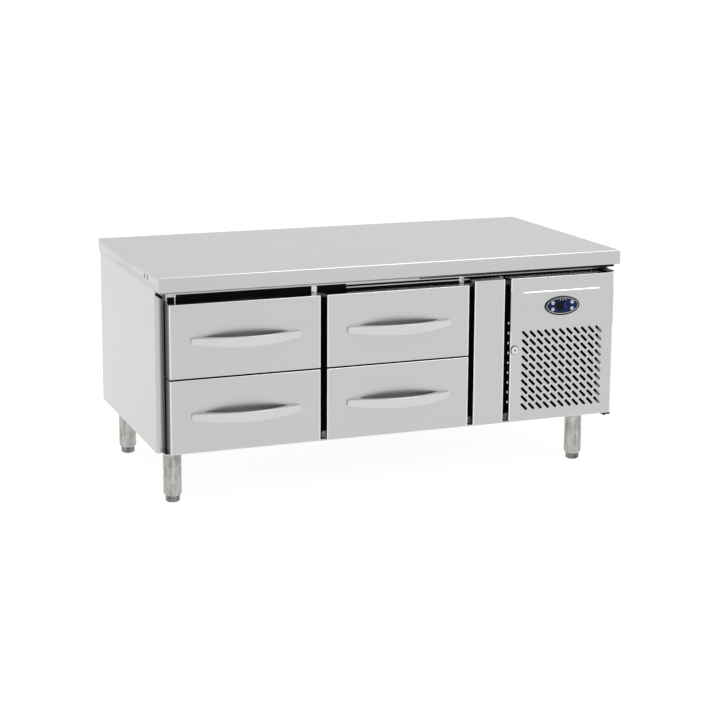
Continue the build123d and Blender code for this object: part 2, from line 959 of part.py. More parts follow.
# Cold side
def evaporator_shroud():
    front = frame_back + duct_setback
    panel = block(duct_left, duct_right, front, liner_rear, liner_bottom, liner_top)
    panel -= rod_x(evap_fan_y, evap_fan_z, duct_left - overrun, duct_right + overrun, evap_fan_opening)
    intake = block(
        duct_left - overrun, duct_right + overrun, evap_front + evap_plate, evap_rear - evap_plate,
        evap_bottom + evap_tube_radius, (evap_bottom + evap_top) / 2,
    )
    return panel - intake


def evaporator_coil():
    left = duct_right + coil_play
    right = liner_right - evap_plate
    coil = block(right, liner_right, evap_front, evap_rear, evap_bottom, evap_top)
    pitch = (evap_rear - evap_front) / (evap_fins + 1)
    for count in range(evap_fins):
        y = evap_front + (count + 1) * pitch
        coil += block(left, right, y, y + fin_sheet, evap_bottom, evap_top)
    for low in (evap_front, evap_rear - evap_plate):
        coil += block(left, right, low, low + evap_plate, evap_bottom, evap_top)
    row = (evap_top - evap_bottom) / evap_tube_rows
    for count in range(evap_tube_rows):
        z = evap_bottom + (count + 0.5) * row
        coil += rod_y((left + right) / 2, z, evap_front, evap_rear, evap_tube_radius)
    return coil


# Machine compartment
def condenser_coil():
    coil = block(cond_left, cond_left + cond_plate, cond_front, cond_rear, floor_z, cond_top)
    coil += block(cond_right - cond_plate, cond_right, cond_front, cond_rear, floor_z, cond_top)
    pitch = cond_width / (cond_fins + 1)
    for count in range(cond_fins):
        x = cond_left + (count + 1) * pitch
        coil += block(x, x + fin_sheet, cond_front, cond_rear, cond_bottom, cond_top)
    row = cond_height / cond_tube_rows
    for count in range(cond_tube_rows):
        coil += rod_x(cond_middle, cond_bottom + (count + 0.5) * row, cond_left, cond_right, cond_tube_radius)
    return coil


def condenser_shroud():
    plate = block(cond_left, cond_right, cond_rear, cond_rear + skin, floor_z, cond_top)
    ring = rod_y(bay_middle, cond_z, cond_rear, shroud_end, shroud_radius + skin)
    hole = rod_y(bay_middle, cond_z, cond_rear - overrun, shroud_end + overrun, shroud_radius)
    return plate + ring - hole


def compressor_shell(low, high, radius, inset):
    shell = rod_z(bay_middle, comp_y, low, high, radius)
    shell = fillet(shell.edges().group_by(Axis.Z)[-1], comp_top_bend - inset)
    return fillet(shell.edges().group_by(Axis.Z)[0], comp_bottom_bend - inset)


def compressor():
    shell_bottom = comp_foot_z + comp_foot_sheet
    body = compressor_shell(shell_bottom, comp_top, comp_radius, 0)
    half = comp_foot_width / 2
    body += block(
        bay_middle - half, bay_middle + half, comp_y - half, comp_y + half, comp_foot_z, shell_bottom,
    )
    reach = half - comp_sleeve_inset
    for x in (bay_middle - reach, bay_middle + reach):
        for y in (comp_y - reach, comp_y + reach):
            body += rod_z(x, y, floor_z, comp_foot_z, comp_sleeve_radius)
    for x in (discharge_x, suction_x):
        body += rod_z(x, comp_y, comp_top - comp_top_bend, stub_top, stub_radius)
    return body - compressor_shell(
        shell_bottom + comp_wall, comp_top - comp_wall, comp_radius - comp_wall, comp_wall,
    )


def drain_tray():
    left = bay_middle - tray_width / 2
    rear = tray_front + tray_depth
    outer = block(left, left + tray_width, tray_front, rear, floor_z, floor_z + tray_height)
    inner = block(
        left + tray_sheet, left + tray_width - tray_sheet, tray_front + tray_sheet, rear - tray_sheet,
        floor_z + tray_sheet, floor_z + tray_height + overrun,
    )
    return outer - inner


def electrical_box():
    front = top_front + ebox_setback
    top = lip_z - ebox_drop
    right = partition_right + ebox_width
    box = block(partition_right, right, front, front + ebox_depth, top - ebox_height, top)
    return fillet(box.edges().filter_by(Axis.Z).sort_by(Axis.X)[2:], ebox_bend)


def pipe(points, radius):
    path = FilletPolyline(*points, radius=pipe_bend)
    profile = Plane(origin=points[0], z_dir=path % 0) * Circle(radius)
    return sweep(profile, path=path)


def refrigerant_pipes():
    high = stub_top + discharge_rise
    side = cond_right + discharge_side
    entry = floor_z + discharge_entry
    discharge = [
        (discharge_x, comp_y, stub_top),
        (discharge_x, comp_y, high),
        (side, comp_y, high),
        (side, cond_middle, high),
        (side, cond_middle, entry),
        (cond_right, cond_middle, entry),
    ]
    suction = [
        (suction_x, comp_y, stub_top),
        (suction_x, comp_y, suction_z),
        (liner_right, comp_y, suction_z),
    ]
    low = floor_z + liquid_low
    right = cond_right + liquid_side
    riser = partition_right + liquid_offset
    liquid = [
        (cond_right, cond_middle, low),
        (right, cond_middle, low),
        (right, liquid_y, low),
        (riser, liquid_y, low),
        (riser, liquid_y, liquid_z),
        (liner_right, liquid_y, liquid_z),
    ]
    return Compound([
        pipe(discharge, discharge_radius),
        pipe(suction, suction_radius),
        pipe(liquid, liquid_radius),
    ])


def mains_gland():
    outer = rod_y(gland_x, gland_z, body_rear - gland_inner, body_rear + gland_proud, gland_radius)
    outer += rod_y(gland_x, gland_z, body_rear, body_rear + gland_nut, gland_nut_radius)
    outer += rod_y(gland_x, gland_z, body_rear - skin - gland_nut, body_rear - skin, gland_nut_radius)
    return outer - rod_y(gland_x, gland_z, body_rear - gland_inner, body_rear + gland_proud, gland_bore)


# Fasteners that show: worktop rivets, strip clips and rear panel screws
def clip(left):
    top = lip_z - breaker_drop + clip_height / 4
    plate = block(left, left + clip_width, frame_face - clip_sheet, frame_face, top - clip_height, top)
    head_z = top - clip_height / 3
    middle = left + clip_width / 2
    y = frame_face - clip_sheet
    return plate + rod_y(middle, head_z, y - clip_screw_head, y, clip_screw_radius)


def panel_fasteners():
    pieces = rivets(rivet_radius, top_sheet)
    for column in (left_column, right_column):
        left, right = breaker_span(column)
        pieces.append(clip(right))
    for column in range(screw_columns):
        for row in range(screw_rows):
            x_span = body_right - body_left - 2 * screw_inset
            z_span = body_height - 2 * screw_inset
            x = body_left + screw_inset + column * x_span / (screw_columns - 1)
            z = base_z + screw_inset + row * z_span / (screw_rows - 1)
            pieces.append(rod_y(x, z, body_rear, body_rear + screw_head, screw_radius))
    return Compound(pieces)


nodes = {
    "worktop": worktop(),
    "worktop_drip_strip": drip_strip(),
    "left_side_panel": left_side_panel(),
    "right_side_panel": right_side_panel(),
    "rear_panel": rear_panel(),
    "base_panel": base_panel(),
    "inner_liner": inner_liner(),
    "cabinet_insulation": cabinet_insulation(),
    "machine_partition": machine_partition(),
    "front_frame": front_frame(),
    "breaker_strips": breaker_strips(),
    "filler_post": filler_post(),
    "slide_supports": slide_supports(),
    "evaporator_shroud": evaporator_shroud(),
    "evaporator_coil": evaporator_coil(),
    "evaporator_fan_blades": evaporator_fan_blades(),
    "condenser_coil": condenser_coil(),
    "condenser_shroud": condenser_shroud(),
    "condenser_fan_blades": condenser_fan_blades(),
    "fan_motors": fan_motors(),
    "compressor": compressor(),
    "refrigerant_pipes": refrigerant_pipes(),
    "drain_tray": drain_tray(),
    "electrical_box": electrical_box(),
    "mains_gland": mains_gland(),
    "panel_fasteners": panel_fasteners(),
    "door_hinges": door_hinges(),
    "door_panel": door_panel(),
    "door_lock": door_lock(),
    "controller_bezel": controller_bezel(),
    "controller_face": controller_face(),
    "leg_tubes": Compound([leg_tube(x, y) for x, y in leg_places]),
}

button_names = ["lower_left", "upper_left", "lower_right", "upper_right"]
for name, (x, z) in zip(button_names, button_places()):
    nodes[f"controller_button_{name}"] = controller_button(x, z)

foot_names = ["front_left", "front_right", "rear_left", "rear_right"]
for name, (x, y) in zip(foot_names, leg_places):
    nodes[f"foot_{name}"] = leveling_foot(x, y)

drawer_pieces = {
    "front": drawer_front(),
    "gasket": drawer_gasket(),
    "handle": drawer_handle(),
    "carrier": drawer_carrier(),
    "slide_middle": slide_middle(),
}
for side, column in (("left", left_column), ("right", right_column)):
    for level, row in (("lower", lower_row), ("upper", upper_row)):
        for name, shape in drawer_pieces.items():
            nodes[f"{side}_{level}_{name}"] = Pos(column, front_plane, row) * shape

os.makedirs("parts", exist_ok=True)
for name, shape in nodes.items():
    export_step(shape, f"parts/{name}.step")
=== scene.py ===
import math
import bmesh
import bpy
from mathutils import Matrix, Vector


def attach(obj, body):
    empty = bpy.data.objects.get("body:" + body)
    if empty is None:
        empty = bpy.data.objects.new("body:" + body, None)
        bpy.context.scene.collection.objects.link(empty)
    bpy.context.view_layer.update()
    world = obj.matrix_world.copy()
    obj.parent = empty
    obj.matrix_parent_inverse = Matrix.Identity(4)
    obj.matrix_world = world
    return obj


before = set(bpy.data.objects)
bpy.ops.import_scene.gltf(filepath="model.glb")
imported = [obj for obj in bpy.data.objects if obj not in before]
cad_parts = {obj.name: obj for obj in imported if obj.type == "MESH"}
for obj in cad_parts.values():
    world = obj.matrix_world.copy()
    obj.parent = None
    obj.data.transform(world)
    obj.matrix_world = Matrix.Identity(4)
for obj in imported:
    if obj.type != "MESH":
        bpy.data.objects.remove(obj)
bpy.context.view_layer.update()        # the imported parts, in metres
print("frame loaded:", len(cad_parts), "parts")

drawerSpots = [f"{side}_{level}" for side in ("left", "right") for level in ("lower", "upper")]


def span(name):
    points = [corner.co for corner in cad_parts[name].data.vertices]
    low = Vector([min(point[axis] for point in points) for axis in range(3)])
    high = Vector([max(point[axis] for point in points) for axis in range(3)])
    return low, high


# one socket of a shader, with arithmetic on it
class Wire:
    def __init__(self, shader, socket):
        self.shader = shader
        self.socket = socket

    def calc(self, operation, *values):
        return self.shader.node("Math", {"operation": operation}, dict(enumerate(values)))

    def __add__(self, other):
        return self.calc("ADD", self, other)

    def __radd__(self, other):
        return self.calc("ADD", other, self)

    def __sub__(self, other):
        return self.calc("SUBTRACT", self, other)

    def __rsub__(self, other):
        return self.calc("SUBTRACT", other, self)

    def __mul__(self, other):
        return self.calc("MULTIPLY", self, other)

    def __rmul__(self, other):
        return self.calc("MULTIPLY", other, self)

    def __abs__(self):
        return self.calc("ABSOLUTE", self)

    def atLeast(self, other):
        return self.calc("MAXIMUM", self, other)

    def atMost(self, other):
        return self.calc("MINIMUM", self, other)


# a node tree that is filled one node at a time
class Shader:
    def __init__(self, tree):
        self.tree = tree
        self.tree.nodes.clear()

    def node(self, kind, settings=None, sockets=None, output=0):
        made = self.tree.nodes.new("ShaderNode" + kind)
        for name, value in (settings or {}).items():
            setattr(made, name, value)
        for name, value in (sockets or {}).items():
            if isinstance(value, Wire):
                self.tree.links.new(value.socket, made.inputs[name])
            else:
                made.inputs[name].default_value = value
        return Wire(self, made.outputs[output]) if made.outputs else made

    def noise(self, place, scale, detail=2.0, roughness=0.5):
        stretched = self.node("Mapping", {}, {"Vector": place, "Scale": scale})
        return self.node("TexNoise", {}, {
            "Vector": stretched, "Scale": 1.0, "Detail": detail, "Roughness": roughness,
        })

    def blend(self, factor, first, second):
        return self.node("Mix", {"data_type": "RGBA"}, {0: factor, 6: first, 7: second}, output=2)

    def bump(self, height, strength, distance):
        return self.node("Bump", {}, {"Height": height, "Strength": strength, "Distance": distance})

    def step(self, value, start, end):
        sockets = {"Value": value, "From Min": start, "From Max": end}
        return self.node("MapRange", {"interpolation_type": "SMOOTHSTEP"}, sockets)

    def inside(self, value, low, high):
        return value.calc("GREATER_THAN", value, low) * value.calc("LESS_THAN", value, high)

    def axes(self, vector):
        return [self.node("SeparateXYZ", {}, {"Vector": vector}, output=axis) for axis in "XYZ"]

    def finish(self, sockets):
        surface = self.node("BsdfPrincipled", {}, sockets)
        self.node("OutputMaterial", {}, {"Surface": surface})


def newMaterial(name):
    material = bpy.data.materials.new(name)
    material.use_nodes = True
    return material, Shader(material.node_tree)


def grey(value, tint=(1.0, 1.0, 1.0)):
    return (value * tint[0], value * tint[1], value * tint[2], 1.0)


# Brushed sheet: fine streaks along the grain, faint bands, smudges, and a painted highlight on the bends
steelLook = {
    "streakLength": 0.16,     # metres along the grain
    "streakWidth": 0.0006,
    "bandLength": 1.8,
    "bandWidth": 0.014,
    "smudgeSize": 0.13,
    "streakDepth": 0.000006,
    "light": 0.56,
    "dark": 0.5,
    "roughness": 0.155,
    "anisotropy": 1.0,
    "bendHighlightTone": 0.92,
    "rimHighlightMetal": 0.35,         # how metallic the painted highlights on the upright edges stay
    "edgeReach": (0.002, 0.004),
    "slotShadeTone": 0.02,
    "stampTop": 0.532,         # metres above the floor
    "stampHighlightCut": 0.9,
    "flangeShade": (-0.671, -0.654),
    "flangeShadeTone": 0.1,
}


def brushedSteel(name, look, grain=0, tint=(1.0, 1.0, 1.0), flat=False, edges=(), slots=None):
    material, shader = newMaterial(name)
    place = shader.node("TexCoord", {}, {}, output="Object")
    fineScale = [1 / look["streakWidth"]] * 3
    fineScale[grain] = 1 / look["streakLength"]
    bandScale = [1 / look["bandWidth"]] * 3
    bandScale[grain] = 1 / look["bandLength"]
    streaks = shader.noise(place, fineScale, 3.0)
    bands = shader.noise(place, bandScale, 2.0)
    smudges = shader.noise(place, [1 / look["smudgeSize"]] * 3, 3.0, 0.6)
    tone = (0.4 * streaks + 0.4 * bands + 0.2 * smudges).atLeast(0.0).atMost(1.0)
    facing = [abs(axis) for axis in shader.axes(shader.node("TexCoord", {}, {}, output="Normal"))]
    # painted highlight: bent faces get the lighter bend highlight tone below
    bend = 1 - shader.step(facing[0].atLeast(facing[1]).atLeast(facing[2]), 0.86, 0.995)
    bend = bend * shader.step(facing[2 if flat else 1], 0.05, 0.25) * (1 - shader.step(facing[0], 0.1, 0.3))
    gloss = 1.0
    sheet = shader.blend(tone, grey(look["dark"], tint), grey(look["light"], tint))
    x, y, z = shader.axes(place)
    front = shader.step(facing[1], 0.3, 0.6)
    if edges:
        # the upright edges of the fronts get a painted highlight too
        nearest = abs(x - edges[0])
        for edge in edges[1:]:
            nearest = nearest.atMost(abs(x - edge))
        rim = 1 - shader.step(nearest, *look["edgeReach"])
        rim = rim * front * y.calc("LESS_THAN", y, span("door_panel")[0].y + 0.003)
        bend = bend.atLeast(rim)
        gloss = 1 - (1 - look["rimHighlightMetal"]) * rim
    if slots:
        # painted shade: the cut walls of the grille's slots are painted dark
        wall = shader.inside(x, slots[0].x, slots[1].x) * shader.inside(z, slots[0].z, slots[1].z)
        sheet = shader.blend(wall * (1 - front), sheet, grey(look["slotShadeTone"]))
        # the painted bend highlight is weaker on the shallow stamping above the grille
        stamped = z.calc("GREATER_THAN", z, slots[1].z) * z.calc("LESS_THAN", z, look["stampTop"])
        bend = bend * (1 - look["stampHighlightCut"] * stamped)
    if grain == 1:
        # painted shade: the left front flange is painted darker towards the gap beside the drawers
        shade = shader.step(x, *look["flangeShade"]) * x.calc("LESS_THAN", x, 0.0) * front
        sheet = shader.blend(shade, sheet, grey(look["flangeShadeTone"]))
    sockets = {
        # painted highlight on bends and upright edges, painted shade on slot walls and flange
        "Base Color": shader.blend(bend, sheet, grey(look["bendHighlightTone"])),
        "Metallic": gloss,
        "Roughness": look["roughness"] - 0.03 + 0.05 * streaks + 0.04 * smudges,
        "Anisotropic": look["anisotropy"],
        "Normal": shader.bump(streaks, 0.3, look["streakDepth"]),
    }
    if flat:
        sockets["Tangent"] = shader.node("Tangent", {"direction_type": "RADIAL", "axis": "X"})
    else:
        sockets["Anisotropic Rotation"] = 0.25
    shader.finish(sockets)
    return material


def plainSteel(name, light, dark, roughness, spot=0.03):
    material, shader = newMaterial(name)
    place = shader.node("TexCoord", {}, {}, output="Object")
    cloud = shader.noise(place, [1 / spot] * 3, 4.0, 0.6)
    fine = shader.noise(place, [1 / 0.0012] * 3, 2.0)
    shader.finish({
        "Base Color": shader.blend(cloud, grey(dark), grey(light)),
        "Metallic": 1.0,
        "Roughness": roughness - 0.05 + 0.1 * cloud + 0.04 * fine,
        "Normal": shader.bump(fine, 0.2, 0.00003),
    })
    return material


# Handles: satin chrome outside, and raw casting on the faces turned to the drawer
castLook = {
    "polished": 0.62,
    "raw": 0.22,
    "roughness": 0.1,
}


def satinCast(name, look):
    material, shader = newMaterial(name)
    place = shader.node("TexCoord", {}, {}, output="Object")
    along = shader.noise(place, (30.0, 700.0, 700.0), 3.0)
    cloud = shader.noise(place, (40.0, 40.0, 40.0), 3.0)
    back = shader.axes(shader.node("TexCoord", {}, {}, output="Normal"))[1]
    raw = shader.step(back, 0.1, 0.6)
    coolTint = (0.99, 0.995, 1.02)
    chrome = grey(look["polished"], coolTint)
    chrome = shader.blend(0.08 * cloud, chrome, grey(0.3))
    shader.finish({
        "Base Color": shader.blend(raw, chrome, grey(look["raw"])),
        "Metallic": 1.0,
        "Roughness": look["roughness"] + 0.04 * along + 0.03 * cloud + 0.3 * raw,
        "Normal": shader.bump(along, 0.12, 0.00002),
    })
    return material


def mouldedPlastic(name, base, roughness, grain=0.0009, depth=0.00004, tint=(1.0, 1.0, 1.0), sheen=0.5):
    material, shader = newMaterial(name)
    place = shader.node("TexCoord", {}, {}, output="Object")
    pores = shader.noise(place, [1 / grain] * 3, 2.0)
    cloud = shader.noise(place, (25.0, 25.0, 25.0), 3.0)
    shader.finish({
        "Base Color": shader.blend(cloud, grey(base * 0.8, tint), grey(base * 1.2, tint)),
        "Roughness": roughness - 0.06 + 0.06 * pores + 0.06 * cloud,
        "Specular IOR Level": sheen,
        "Normal": shader.bump(pores, 0.3, depth),
    })
    return material


def dripRubber(name, fade):
    # painted light: the strip under the worktop is painted pale grey at its left end, fading to black at its
    # right
    material, shader = newMaterial(name)
    place = shader.node("TexCoord", {}, {}, output="Object")
    pores = shader.noise(place, (1100.0, 1100.0, 1100.0), 2.0)
    bare = shader.step(shader.axes(place)[0], *fade)
    shader.finish({
        "Base Color": shader.blend(bare, grey(0.42), grey(0.008)),
        "Roughness": 0.55 + 0.1 * pores,
        "Specular IOR Level": 0.2,
        "Normal": shader.bump(pores, 0.3, 0.00004),
    })
    return material


def legSteel(name, bare, stained):
    # handled tube: greenish brown smears that run down over a turned finish
    material, shader = newMaterial(name)
    place = shader.node("TexCoord", {}, {}, output="Object")
    rings = shader.noise(place, (40.0, 40.0, 900.0), 2.0)
    smears = shader.noise(place, (95.0, 95.0, 11.0), 4.0, 0.6)
    spots = shader.noise(place, (60.0, 60.0, 45.0), 5.0, 0.7)
    stain = (5.0 * (0.6 * smears + 0.4 * spots - 0.42)).atLeast(0.0).atMost(1.0)
    shader.finish({
        "Base Color": shader.blend(stain, grey(bare, (1.0, 0.995, 0.95)), grey(stained, (1.0, 0.97, 0.86))),
        "Metallic": 1.0,
        "Roughness": 0.08 + 0.06 * rings + 0.14 * stain,
        "Normal": shader.bump(rings + 0.5 * spots, 0.15, 0.00004),
    })
    return material


def glow(name, colour, strength):
    material, shader = newMaterial(name)
    place = shader.node("TexCoord", {}, {}, output="Object")
    cells = shader.noise(place, (1500.0, 1500.0, 1500.0), 1.0)
    shader.finish({
        "Base Color": (0.01, 0.01, 0.05, 1.0),
        "Roughness": 0.3,
        "Emission Color": shader.blend(cells, tuple(0.75 * c for c in colour) + (1.0,), colour + (1.0,)),
        "Emission Strength": strength,
    })
    return material


print("materials")
topSteel = brushedSteel("topSteel", steelLook, 0, tint=(0.985, 0.99, 1.02), flat=True)
frontNames = ("left_lower_front", "right_lower_front", "filler_post", "door_panel")
frontEdges = [corner.x for name in frontNames for corner in span(name)]
grilleBox = (Vector((0.37, 0.0, 0.19)), Vector((0.64, 0.0, 0.42)))
frontSteel = brushedSteel("frontSteel", steelLook, 0, edges=frontEdges)
doorSteel = brushedSteel("doorSteel", steelLook, 0, edges=frontEdges, slots=grilleBox)
sideSteel = brushedSteel("sideSteel", steelLook, 1)
innerSteel = plainSteel("innerSteel", 0.56, 0.47, 0.36)
tubeSteel = legSteel("tubeSteel", 0.5, 0.24)
footSteel = legSteel("footSteel", 0.26, 0.08)
fastenerSteel = satinCast("fastenerSteel", castLook)
castHandle = satinCast("castHandle", castLook)
lockSteel = plainSteel("lockSteel", 0.72, 0.6, 0.2, 0.003)
blackRubber = mouldedPlastic("blackRubber", 0.018, 0.62, sheen=0.3)
stripRubber = dripRubber("stripRubber", (-0.15, 0.4))
blackPlastic = mouldedPlastic("blackPlastic", 0.012, 0.4, sheen=0.25)
deepBlack = mouldedPlastic("deepBlack", 0.004, 0.7, sheen=0.1)
railSteel = plainSteel("railSteel", 0.24, 0.18, 0.3)
faceBlue = mouldedPlastic("faceBlue", 0.07, 0.35, tint=(0.1, 0.26, 1.0), sheen=0.15)
buttonWhite = mouldedPlastic("buttonWhite", 0.9, 0.3, tint=(0.9, 0.95, 1.0))
buttonInk = mouldedPlastic("buttonInk", 0.02, 0.5, sheen=0.2)
lensGlass = mouldedPlastic("lensGlass", 0.002, 0.4, sheen=0.12)
ringSilver = plainSteel("ringSilver", 0.8, 0.74, 0.3, 0.004)
studMetal = plainSteel("studMetal", 0.95, 0.85, 0.3, 0.003)
studPaintedGlint = glow("studPaintedGlint", (0.9, 0.95, 1.0), 0.8)
digitGlow = glow("digitGlow", (0.01, 0.05, 1.0), 0.85)
lampGlow = glow("lampGlow", (0.75, 0.9, 0.92), 0.8)
foamFill = mouldedPlastic("foamFill", 0.55, 0.85, 0.002, 0.0004, (1.0, 0.88, 0.58))
finMetal = plainSteel("finMetal", 0.66, 0.5, 0.42, 0.02)
blackPaint = mouldedPlastic("blackPaint", 0.02, 0.45, 0.002, 0.0001)
copperTube = plainSteel("copperTube", 0.5, 0.38, 0.35, 0.02)
greyBox = mouldedPlastic("greyBox", 0.36, 0.5)

finishes = {
    "worktop": topSteel,
    "left_side_panel": sideSteel,
    "right_side_panel": sideSteel,
    "rear_panel": frontSteel,
    "base_panel": frontSteel,
    "front_frame": frontSteel,
    "filler_post": frontSteel,
    "door_panel": doorSteel,
    "leg_tubes": tubeSteel,
    "panel_fasteners": fastenerSteel,
    "door_hinges": blackPaint,
    "inner_liner": innerSteel,
    "machine_partition": innerSteel,
    "evaporator_shroud": innerSteel,
    "condenser_shroud": innerSteel,
    "slide_supports": innerSteel,
    "drain_tray": innerSteel,
    "door_lock": lockSteel,
    "worktop_drip_strip": stripRubber,
    "breaker_strips": deepBlack,
    "mains_gland": blackPlastic,
    "controller_bezel": blackPlastic,
    "controller_face": faceBlue,
    "cabinet_insulation": foamFill,
    "evaporator_coil": finMetal,
    "condenser_coil": blackPaint,
    "condenser_fan_blades": finMetal,
    "evaporator_fan_blades": finMetal,
    "compressor": blackPaint,
    "fan_motors": blackPaint,
    "refrigerant_pipes": copperTube,
    "electrical_box": greyBox,
}
for spot in drawerSpots:
    finishes[spot + "_front"] = frontSteel
    finishes[spot + "_gasket"] = blackRubber
    finishes[spot + "_handle"] = castHandle
    finishes[spot + "_carrier"] = innerSteel
    finishes[spot + "_slide_middle"] = innerSteel
for end in ("front_left", "front_right", "rear_left", "rear_right"):
    finishes["foot_" + end] = footSteel
for corner in ("lower_left", "upper_left", "lower_right", "upper_right"):
    finishes["controller_button_" + corner] = buttonWhite

for name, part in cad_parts.items():
    if not part.material_slots:
        part.data.materials.append(None)
    for slot in part.material_slots:
        slot.link = "OBJECT"
        slot.material = finishes[name]


def newPiece(name, shape, material, body):
    mesh = bpy.data.meshes.new(name)
    shape.to_mesh(mesh)
    shape.free()
    piece = bpy.data.objects.new(name, mesh)
    bpy.context.scene.collection.objects.link(piece)
    mesh.materials.append(material)
    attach(piece, body)
    return piece


def addBar(shape, low, high, edge):
    # a bar between two corners with its edges rounded
    size = high - low
    middle = Matrix.Translation((low + high) / 2) @ Matrix.Diagonal((*size, 1.0))
    corners = bmesh.ops.create_cube(shape, size=1.0, matrix=middle)["verts"]
    edges = {side for corner in corners for side in corner.link_edges}
    bmesh.ops.bevel(
        shape, geom=list(edges), offset=edge, offset_type="OFFSET", segments=2,
        profile=0.5, affect="EDGES", material=-1,
    )


# Black strips on the frame, in the gaps between the fronts: painted shade where the gaps are dark
stripLook = {
    "thickness": 0.001,
    "play": 0.002,        # clear of the seals
    "edge": 0.0003,
    "railDepth": 0.0025,
    "railEnd": 0.045,
    "lowerRail": (0.002, 0.007),     # heights above the seals
    "upperRail": (0.0165, 0.02),
    "railBreak": -0.14,              # the upper rail shows only to the right of this
    "fillStart": 0.004,
    "fillDrop": 0.003,
    "fillRise": 0.003,
    "fillReach": 0.012,
    "clipSpace": 0.0165,
    "clipPlace": 0.002,
    "clipWidth": 0.0025,
    "clipHeight": 0.019,
    "dripStart": 0.06,
    "dripDrop": 0.003,
    "cornerShadeSize": (0.022, 0.008),
    "cornerShadePlace": (-0.666, 0.578),
    "cornerShadeTurn": 38.0,
}


def makeGapStrips(look):
    shape = bmesh.new()
    back = span("front_frame")[0].y
    leftSeal = span("left_lower_gasket")
    rightSeal = span("right_lower_gasket")
    upperSeal = span("left_upper_gasket")
    post = span("filler_post")
    door = span("door_panel")
    low = leftSeal[0].z
    high = upperSeal[1].z
    columns = [
        (leftSeal[1].x + look["play"], rightSeal[0].x - look["play"]),
        (rightSeal[1].x + look["play"], post[0].x - look["play"]),
        (post[1].x, door[0].x),
    ]
    front = back - look["thickness"]
    for start, end in columns:
        addBar(shape, Vector((start, front, low)), Vector((end, back, high)), look["edge"])
    for seal in (leftSeal, rightSeal):
        addBar(
            shape, Vector((seal[0].x, front, leftSeal[1].z + look["play"])),
            Vector((seal[1].x, back, upperSeal[0].z - look["play"])), look["edge"],
        )
    newPiece("gap_strips", shape, deepBlack, "cabinet")

    # over the drawers and the door: black filling pieces as painted shade, then two rails
    low = high + look["play"]
    strips = span("breaker_strips")
    ends = sorted({round(corner.co.x, 4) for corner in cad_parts["breaker_strips"].data.vertices})
    top = strips[1].z
    fillings = bmesh.new()
    for start, end, bottom, height in (
        (leftSeal[0].x - look["fillStart"], ends[0], low, top - look["fillDrop"]),
        (ends[1] + look["clipSpace"], ends[2], low, top),
        (post[0].x - look["fillReach"], door[1].x, low, top),
        (ends[0], look["railBreak"], top, top + look["fillRise"]),
    ):
        addBar(fillings, Vector((start, front, bottom)), Vector((end, back, height)), look["edge"])
    newPiece("top_fillings", fillings, deepBlack, "cabinet")
    for name, start, (bottom, height), material in (
        ("lower_rail", ends[0], look["lowerRail"], railSteel),
        ("upper_rail", look["railBreak"], look["upperRail"], frontSteel),
    ):
        rail = bmesh.new()
        addBar(
            rail, Vector((start, back - look["railDepth"], low + bottom)),
            Vector((door[1].x - look["railEnd"], front, low + height)), look["edge"],
        )
        newPiece(name, rail, material, "cabinet")

    clip = bmesh.new()
    x = strips[0].x - look["clipPlace"]
    addBar(
        clip, Vector((x - look["clipWidth"], back - look["railDepth"], strips[1].z - look["clipHeight"])),
        Vector((x, front, strips[1].z)), look["edge"],
    )
    newPiece("left_clip", clip, studMetal, "cabinet")

    # painted shadow: a black bar under the right half of the strip below the worktop
    drip = span("worktop_drip_strip")
    lower = bmesh.new()
    addBar(
        lower, Vector((look["dripStart"], drip[0].y, drip[0].z - look["dripDrop"])),
        Vector((drip[1].x, drip[0].y + 2 * look["dripDrop"], drip[0].z)), look["edge"],
    )
    newPiece("drip_shadow", lower, deepBlack, "cabinet")

    # painted shade: a black piece where the left flange meets the worktop
    cornerShade = bmesh.new()
    length, width = look["cornerShadeSize"]
    corner = Vector((length, look["thickness"], width)) / 2
    addBar(cornerShade, -corner, corner, look["edge"])
    turn = Matrix.Rotation(math.radians(look["cornerShadeTurn"]), 4, "Y")
    x, z = look["cornerShadePlace"]
    place = Matrix.Translation((x, (front + back) / 2, z))
    bmesh.ops.transform(cornerShade, matrix=place @ turn, verts=cornerShade.verts)
    newPiece("corner_shade", cornerShade, deepBlack, "cabinet")


# Controller: glass over the display, one lit digit, lamps, an outline ring and marks on the buttons
controllerLook = {
    "ringIn": (0.0046, 0.0056),      # from the bezel's outline to the ring's outer and inner edge
    "ringHeight": 0.0003,
    "faceDepth": 0.001,              # from the bezel's front to the blue face
    "glassSize": (0.0203, 0.0128),
    "glassDepth": 0.0006,
    "glassHeight": 0.0012,
    "digitHeight": 0.0128,
    "digitWidth": 0.007,
    "digitPlace": 0.009,             # right of the middle
    "digitStroke": 0.0017,
    "digitLean": 8.0,                # degrees
    "segments": "acdfg",             # the digit 5
    "lampPlaces": (-0.0069, 0.0015, 0.0094),
    "lampRise": 0.0175,
    "lampSize": 0.0013,
    "markSize": 0.0021,
    "proud": 0.0002,
}


def faceCircle(shape, radiusX, radiusZ, middle, steps=64):
    # an oval in the plane of the door's front, facing the viewer
    turn = Matrix.Translation(middle) @ Matrix.Rotation(math.radians(90), 4, "X")
    turn = turn @ Matrix.Diagonal((radiusX, radiusZ, 1.0, 1.0))
    return bmesh.ops.create_circle(shape, cap_ends=False, segments=steps, radius=1.0, matrix=turn)["verts"]


def edgesOf(corners):
    inside = set(corners)
    return [side for side in {e for c in corners for e in c.link_edges} if set(side.verts) <= inside]


